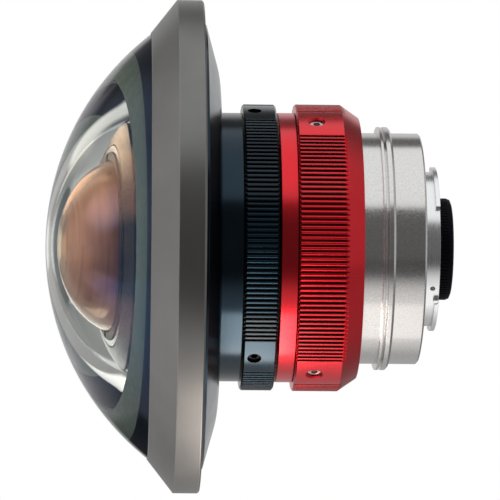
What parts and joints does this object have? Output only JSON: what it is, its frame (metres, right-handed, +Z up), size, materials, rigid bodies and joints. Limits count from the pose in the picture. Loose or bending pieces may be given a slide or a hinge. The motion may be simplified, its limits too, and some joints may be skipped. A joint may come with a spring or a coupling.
{
  "type": "fisheye lens",
  "caption": "Manual fisheye lens with a bulging glass dome in a grey bezel, a black focus ring, a red aperture ring and a silver bayonet mount.",
  "frame": {"origin": "centre of the bayonet mount's flange plane, where the lens seats on a camera", "axes": "+X along the optical axis out of the mount, so the dome looks to -X; +Z up; -Y faces the picture's camera"},
  "size_m": [0.0937, 0.114, 0.114],
  "materials": {
    "dome_glass": "polished, coated",
    "lens_glass": "polished, coated amber and violet",
    "bezel_grey": "satin warm grey",
    "gasket_rubber": "matte",
    "black_anodised": "semi-gloss black anodised",
    "inner_black": "matte black",
    "blade_black": "matte blued steel",
    "red_anodised": "satin red anodised",
    "silver_mount": "fine turned and bright",
    "bayonet_chrome": "polished",
    "steel": "bright steel",
    "black_steel": "blackened steel",
    "brass_works": "machined"
  },
  "bodies": {
    "lens_body": {"front_element": "dome_glass", "front_bezel": "bezel_grey", "dome_gasket": "gasket_rubber", "front_housing": "black_anodised", "front_baffle": "inner_black", "second_element": "lens_glass", "second_retainer": "inner_black", "third_element": "lens_glass", "third_retainer": "inner_black", "main_barrel": "inner_black", "index_band": "red_anodised", "iris_retainer": "inner_black", "iris_base": "inner_black", "rear_cell": "inner_black", "rear_first_element": "lens_glass", "rear_front_spacer": "inner_black", "rear_pair_front_element": "lens_glass", "rear_pair_back_element": "lens_glass", "rear_back_spacer": "inner_black", "rear_last_element": "lens_glass", "rear_lens_ring": "black_anodised", "rear_baffle": "inner_black", "mount_sleeve": "silver_mount", "mount_barrel": "silver_mount", "bayonet_ring": "bayonet_chrome", "bayonet_screws": "steel", "bayonet_stop_pin": "steel"},
    "focus_ring_body": {"focus_ring": "black_anodised", "focus_screws": "black_steel", "cam_sleeve": "brass_works"},
    "focus_cell_body": {"focus_cell": "inner_black", "cam_pins": "steel", "pair_front_element": "lens_glass", "pair_back_element": "lens_glass", "pair_retainer": "inner_black"},
    "aperture_ring_body": {"aperture_ring": "red_anodised", "aperture_screws": "steel", "aperture_hub": "inner_black", "aperture_drive_pin": "steel", "iris_actuator": "brass_works"},
    "iris_blade_1_body": {"iris_blade_1": "blade_black"},
    "iris_blade_2_body": {"iris_blade_2": "blade_black"},
    "iris_blade_3_body": {"iris_blade_3": "blade_black"},
    "iris_blade_4_body": {"iris_blade_4": "blade_black"},
    "iris_blade_5_body": {"iris_blade_5": "blade_black"},
    "iris_blade_6_body": {"iris_blade_6": "blade_black"}
  },
  "joints": [
    {"name": "focus_turn", "type": "hinge", "parent": "lens_body", "child": "focus_ring_body", "pos_m": [-0.0375, 0, 0], "axis": [1, 0, 0], "range_deg": [0, 60]},
    {"name": "focus_slide", "type": "slide", "parent": "lens_body", "child": "focus_cell_body", "axis": [-1, 0, 0], "range_m": [0, 0.0012]},
    {"name": "aperture_turn", "type": "hinge", "parent": "lens_body", "child": "aperture_ring_body", "pos_m": [-0.022, 0, 0], "axis": [1, 0, 0], "range_deg": [0, 60]},
    {"name": "iris_blade_1_turn", "type": "hinge", "parent": "lens_body", "child": "iris_blade_1_body", "pos_m": [-0.02645, 0, -0.0166], "axis": [1, 0, 0], "range_deg": [0, 21]},
    {"name": "iris_blade_2_turn", "type": "hinge", "parent": "lens_body", "child": "iris_blade_2_body", "pos_m": [-0.02645, 0.01438, -0.0083], "axis": [1, 0, 0], "range_deg": [0, 21]},
    {"name": "iris_blade_3_turn", "type": "hinge", "parent": "lens_body", "child": "iris_blade_3_body", "pos_m": [-0.02645, 0.01438, 0.0083], "axis": [1, 0, 0], "range_deg": [0, 21]},
    {"name": "iris_blade_4_turn", "type": "hinge", "parent": "lens_body", "child": "iris_blade_4_body", "pos_m": [-0.02645, 0, 0.0166], "axis": [1, 0, 0], "range_deg": [0, 21]},
    {"name": "iris_blade_5_turn", "type": "hinge", "parent": "lens_body", "child": "iris_blade_5_body", "pos_m": [-0.02645, -0.01438, 0.0083], "axis": [1, 0, 0], "range_deg": [0, 21]},
    {"name": "iris_blade_6_turn", "type": "hinge", "parent": "lens_body", "child": "iris_blade_6_body", "pos_m": [-0.02645, -0.01438, -0.0083], "axis": [1, 0, 0], "range_deg": [0, 21]}
  ],
  "couplings": [
    {"joint": "focus_slide", "follows": "focus_turn", "m_per_rad": 0.0011459},
    {"joint": "iris_blade_1_turn", "follows": "aperture_turn", "ratio": 0.35},
    {"joint": "iris_blade_2_turn", "follows": "aperture_turn", "ratio": 0.35},
    {"joint": "iris_blade_3_turn", "follows": "aperture_turn", "ratio": 0.35},
    {"joint": "iris_blade_4_turn", "follows": "aperture_turn", "ratio": 0.35},
    {"joint": "iris_blade_5_turn", "follows": "aperture_turn", "ratio": 0.35},
    {"joint": "iris_blade_6_turn", "follows": "aperture_turn", "ratio": 0.35}
  ]
}
